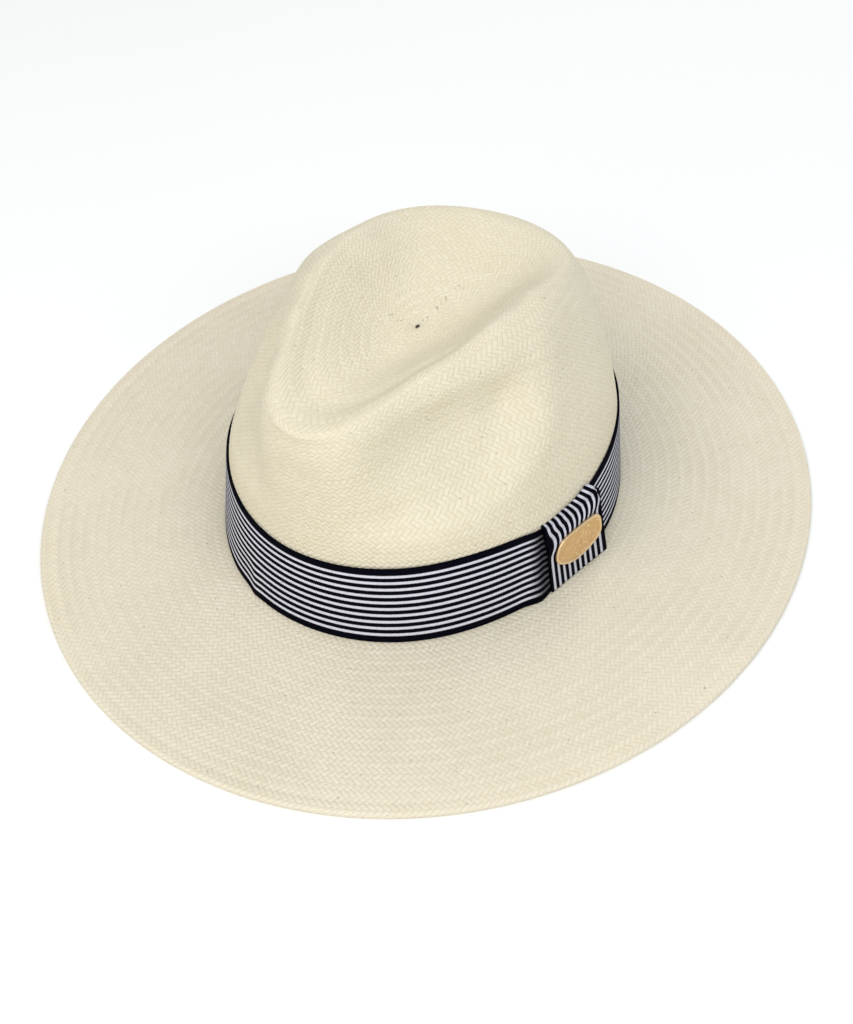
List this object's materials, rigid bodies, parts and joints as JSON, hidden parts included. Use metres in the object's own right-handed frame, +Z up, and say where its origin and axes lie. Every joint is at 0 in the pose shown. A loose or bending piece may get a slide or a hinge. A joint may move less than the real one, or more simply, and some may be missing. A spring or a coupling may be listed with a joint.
{
  "type": "fedora",
  "caption": "Wide-brimmed straw fedora with a teardrop crown pinched at the front, a striped ribbon round it, and an oval metal plate on the loop over the ribbon's joint.",
  "frame": {"origin": "middle of the brim's outline, on the surface that the brim rests on", "axes": "+X to the wearer's left, -Y out of the front of the hat, +Z up through the crown"},
  "size_m": [0.336, 0.373, 0.1234],
  "materials": {
    "straw": "fine woven bleached straw with a soft sheen",
    "ribbon": "matte ribbed ribbon, navy with narrow white stripes along it",
    "plate": "satin gold with a polished border"
  },
  "bodies": {
    "root": {"straw_body": "straw", "hat_band": "ribbon", "band_keeper": "ribbon", "badge": "plate"}
  },
  "joints": []
}
